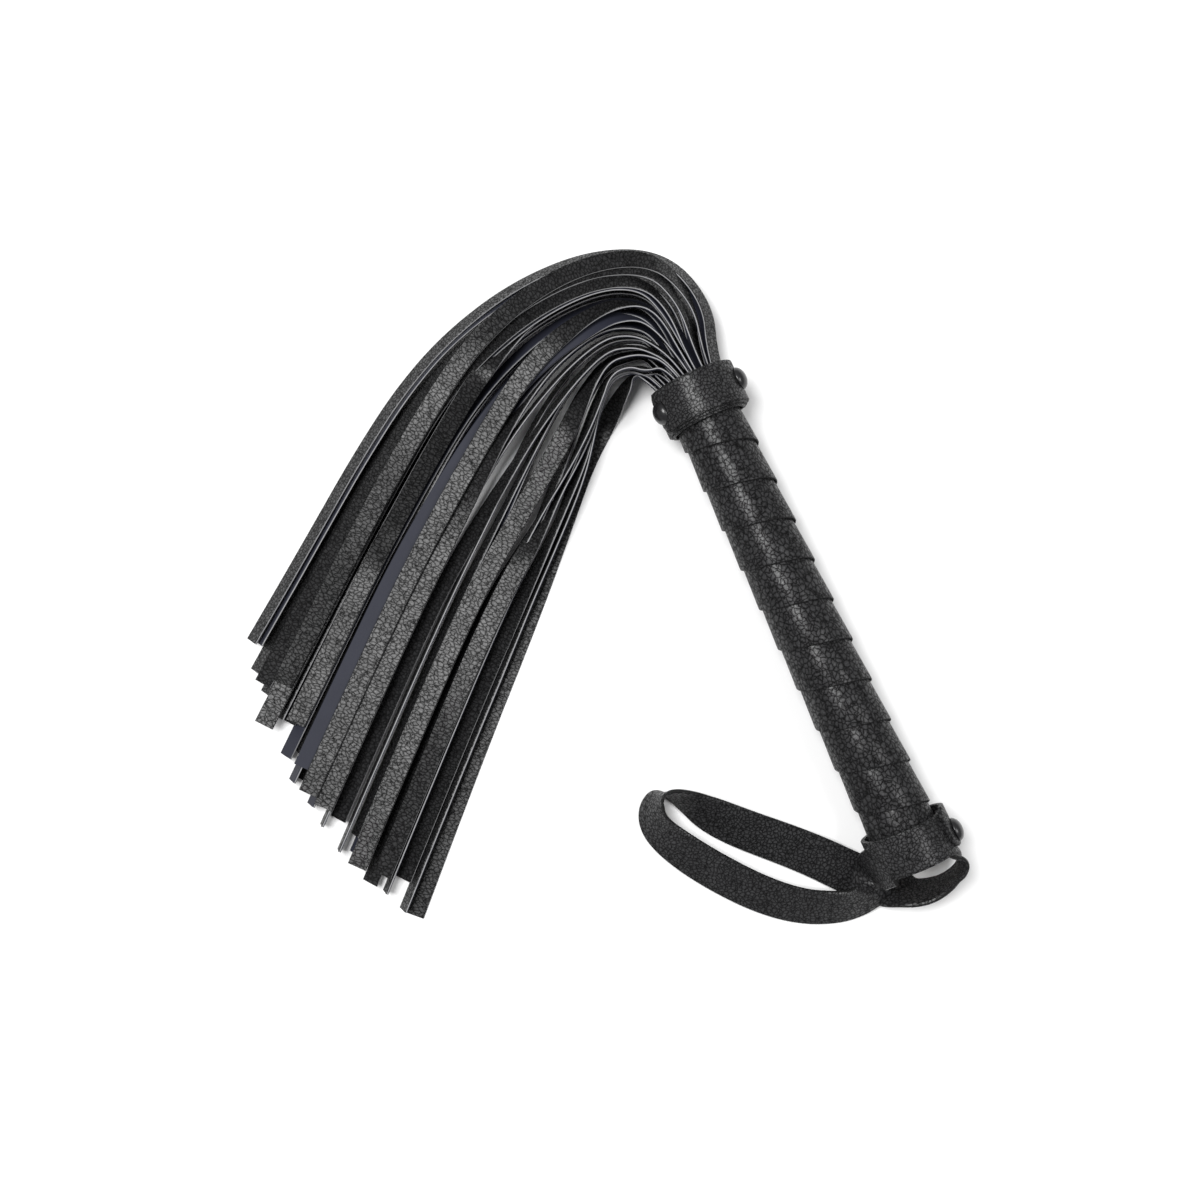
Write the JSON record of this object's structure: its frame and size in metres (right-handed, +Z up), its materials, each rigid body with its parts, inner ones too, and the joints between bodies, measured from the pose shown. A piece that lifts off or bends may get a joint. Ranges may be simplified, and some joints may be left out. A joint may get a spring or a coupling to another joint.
{
  "type": "multi-tail leather whip",
  "caption": "Short whip with a leather-wrapped grip, riveted strap collars, a bunch of flat leather tails at one end and a wrist loop at the other.",
  "frame": {"origin": "on the surface the whip lies on, under the middle of the handle, measured from the butt collar's rim to the rounded end of the tail band", "axes": "the handle's axis runs along Y, butt at -Y and tails at +Y; +Z is up from the surface; the tails and the wrist loop lie towards -X"},
  "size_m": [0.2208, 0.2742, 0.0333],
  "materials": {
    "core_wood": "turned hardwood dowel, unfinished",
    "grip_leather": "black pebble-grained leather, satin",
    "strap_leather": "black pebble-grained strap leather with painted edges",
    "tail_leather": "black grained face, smooth dark slate back, cut edges",
    "cap_black": "gloss black domed rivet caps",
    "post_steel": "plain steel posts",
    "tack_steel": "plain steel tacks"
  },
  "bodies": {
    "handle": {"handle_core": "core_wood", "grip_wrap": "grip_leather", "tail_band": "tail_leather", "band_tacks": "tack_steel", "top_collar": "strap_leather", "top_rivet_posts": "post_steel", "top_rivet_caps": "cap_black", "butt_collar": "strap_leather", "butt_rivet_post": "post_steel", "butt_rivet_cap": "cap_black"},
    "tails": {"tail_01": "tail_leather", "tail_02": "tail_leather", "tail_03": "tail_leather", "tail_04": "tail_leather", "tail_05": "tail_leather", "tail_06": "tail_leather", "tail_07": "tail_leather", "tail_08": "tail_leather", "tail_09": "tail_leather", "tail_10": "tail_leather", "tail_11": "tail_leather", "tail_12": "tail_leather", "tail_13": "tail_leather", "tail_14": "tail_leather", "tail_15": "tail_leather", "tail_16": "tail_leather", "tail_17": "tail_leather", "tail_18": "tail_leather", "tail_19": "tail_leather", "tail_20": "tail_leather", "tail_21": "tail_leather", "tail_22": "tail_leather", "tail_23": "tail_leather", "tail_24": "tail_leather", "tail_25": "tail_leather", "tail_26": "tail_leather", "tail_27": "tail_leather", "tail_28": "tail_leather", "tail_29": "tail_leather", "tail_30": "tail_leather", "tail_31": "tail_leather", "tail_32": "tail_leather", "tail_33": "tail_leather", "tail_34": "tail_leather", "tail_35": "tail_leather", "tail_36": "tail_leather"},
    "wrist_loop": {"wrist_strap": "strap_leather"}
  },
  "joints": [
    {"name": "tails_swing", "type": "hinge", "parent": "handle", "child": "tails", "pos_m": [0, 0.09515, 0.01638], "axis": [0, 0, 1], "range_deg": [-35, 15]},
    {"name": "wrist_loop_swing", "type": "hinge", "parent": "handle", "child": "wrist_loop", "pos_m": [0, -0.10835, 0.01638], "axis": [0, 0, 1], "range_deg": [-10, 10]}
  ]
}
